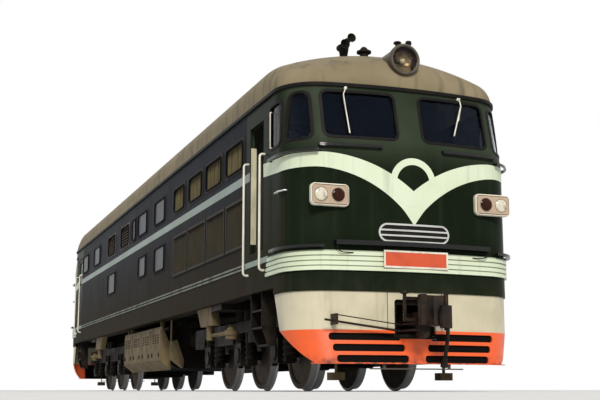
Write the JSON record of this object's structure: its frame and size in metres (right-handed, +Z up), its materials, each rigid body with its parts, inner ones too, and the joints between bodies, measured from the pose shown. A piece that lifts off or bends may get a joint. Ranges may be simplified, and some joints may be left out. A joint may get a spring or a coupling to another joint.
{
  "type": "diesel locomotive",
  "caption": "Mainline diesel-electric locomotive with a rounded cab at each end, two turning three-axle bogies, opening cab doors and roof cooling fans.",
  "frame": {"origin": "under the middle of the locomotive, level with the lowest point of the wheel flanges", "axes": "+X towards the front cab, +Y to its left side, +Z up"},
  "size_m": [21.1, 3.432, 4.9885],
  "materials": {
    "underframe_black": "matt, dusty",
    "body_green": "gloss",
    "black_rubber": "matt",
    "window_glass": "clear",
    "louvre_brown": "dusty",
    "shutter_olive": "satin, dusty",
    "roof_grey": "matt, weathered",
    "fan_steel": "satin",
    "interior_cream": "satin",
    "apron_grey": "satin",
    "stripe_cream": "satin",
    "lamp_cream": "satin",
    "lamp_glass": "clear",
    "bright_metal": "polished",
    "trim_black": "gloss",
    "rail_white": "gloss",
    "coupler_iron": "rusty",
    "box_grey": "dusty",
    "engine_green": "satin",
    "cock_red": "gloss",
    "motor_black": "oily",
    "hose_rubber": "matt",
    "wheel_steel": "bright tread, dusty faces"
  },
  "bodies": {
    "root": {"underframe": "underframe_black", "cab_shell_front": "body_green", "cab_shell_rear": "body_green", "window_rubbers": "black_rubber", "window_panes": "window_glass", "side_wall_left": "body_green", "side_wall_right": "body_green", "body_window_frames": "body_green", "wall_louvres": "louvre_brown", "radiator_shutters": "shutter_olive", "cab_roofs": "roof_grey", "body_roofs": "roof_grey", "frame_castings": "underframe_black", "underbody_brackets": "box_grey", "fan_wells": "roof_grey", "rain_gutter": "black_rubber", "bulkheads": "interior_cream", "aprons": "apron_grey", "nose_bands": "stripe_cream", "marker_lamps": "lamp_cream", "headlights": "body_green", "lamp_glasses": "lamp_glass", "horns": "underframe_black", "roof_vents": "underframe_black", "nose_grilles": "bright_metal", "nose_bars": "trim_black", "door_handrails": "rail_white", "couplers": "coupler_iron", "fuel_tank": "underframe_black", "battery_boxes": "box_grey", "engine_block": "engine_green", "cab_steps": "underframe_black", "air_reservoirs": "underframe_black", "brake_cocks": "cock_red", "hose_couplings": "coupler_iron", "cab_fittings": "interior_cream", "brake_hose_front": "hose_rubber", "brake_hose_rear": "hose_rubber"},
    "bogie_front": {"bogie_frame_front": "underframe_black", "axleboxes_front": "underframe_black", "traction_motors_front": "motor_black"},
    "bogie_rear": {"bogie_frame_rear": "underframe_black", "axleboxes_rear": "underframe_black", "traction_motors_rear": "motor_black"},
    "cooling_fan_front": {"cooling_fan_front": "fan_steel"},
    "cooling_fan_rear": {"cooling_fan_rear": "fan_steel"},
    "wheelset_1": {"wheelset_1": "wheel_steel"},
    "wheelset_2": {"wheelset_2": "wheel_steel"},
    "wheelset_3": {"wheelset_3": "wheel_steel"},
    "wheelset_4": {"wheelset_4": "wheel_steel"},
    "wheelset_5": {"wheelset_5": "wheel_steel"},
    "wheelset_6": {"wheelset_6": "wheel_steel"},
    "door_front_left": {"door_front_left": "body_green", "door_front_left_glass": "window_glass"},
    "door_front_right": {"door_front_right": "body_green", "door_front_right_glass": "window_glass"},
    "door_rear_left": {"door_rear_left": "body_green", "door_rear_left_glass": "window_glass"},
    "door_rear_right": {"door_rear_right": "body_green", "door_rear_right_glass": "window_glass"}
  },
  "joints": [
    {"name": "bogie_front_yaw", "type": "hinge", "parent": "root", "child": "bogie_front", "pos_m": [6, 0, 1], "axis": [0, 0, 1], "range_deg": [-3, 3]},
    {"name": "bogie_rear_yaw", "type": "hinge", "parent": "root", "child": "bogie_rear", "pos_m": [-6, 0, 1], "axis": [0, 0, 1], "range_deg": [-3, 3]},
    {"name": "wheelset_1_roll", "type": "hinge", "parent": "bogie_front", "child": "wheelset_1", "pos_m": [7.8, 0, 0.553], "axis": [0, 1, 0], "continuous": true},
    {"name": "wheelset_2_roll", "type": "hinge", "parent": "bogie_front", "child": "wheelset_2", "pos_m": [6, 0, 0.553], "axis": [0, 1, 0], "continuous": true},
    {"name": "wheelset_3_roll", "type": "hinge", "parent": "bogie_front", "child": "wheelset_3", "pos_m": [4.2, 0, 0.553], "axis": [0, 1, 0], "continuous": true},
    {"name": "wheelset_4_roll", "type": "hinge", "parent": "bogie_rear", "child": "wheelset_4", "pos_m": [-7.8, 0, 0.553], "axis": [0, 1, 0], "continuous": true},
    {"name": "wheelset_5_roll", "type": "hinge", "parent": "bogie_rear", "child": "wheelset_5", "pos_m": [-6, 0, 0.553], "axis": [0, 1, 0], "continuous": true},
    {"name": "wheelset_6_roll", "type": "hinge", "parent": "bogie_rear", "child": "wheelset_6", "pos_m": [-4.2, 0, 0.553], "axis": [0, 1, 0], "continuous": true},
    {"name": "cooling_fan_front_spin", "type": "hinge", "parent": "root", "child": "cooling_fan_front", "pos_m": [6.5, 0, 4.575], "axis": [0, 0, 1], "continuous": true},
    {"name": "cooling_fan_rear_spin", "type": "hinge", "parent": "root", "child": "cooling_fan_rear", "pos_m": [4.4, 0, 4.575], "axis": [0, 0, 1], "continuous": true},
    {"name": "door_front_left_hinge", "type": "hinge", "parent": "root", "child": "door_front_left", "pos_m": [8.575, 1.554, 2.8], "axis": [0, 0, 1], "range_deg": [0, 90]},
    {"name": "door_front_right_hinge", "type": "hinge", "parent": "root", "child": "door_front_right", "pos_m": [8.575, -1.554, 2.8], "axis": [0, 0, 1], "range_deg": [0, 90]},
    {"name": "door_rear_right_hinge", "type": "hinge", "parent": "root", "child": "door_rear_right", "pos_m": [-8.575, -1.554, 2.8], "axis": [0, 0, 1], "range_deg": [0, 90]},
    {"name": "door_rear_left_hinge", "type": "hinge", "parent": "root", "child": "door_rear_left", "pos_m": [-8.575, 1.554, 2.8], "axis": [0, 0, -1], "range_deg": [0, 90]}
  ]
}
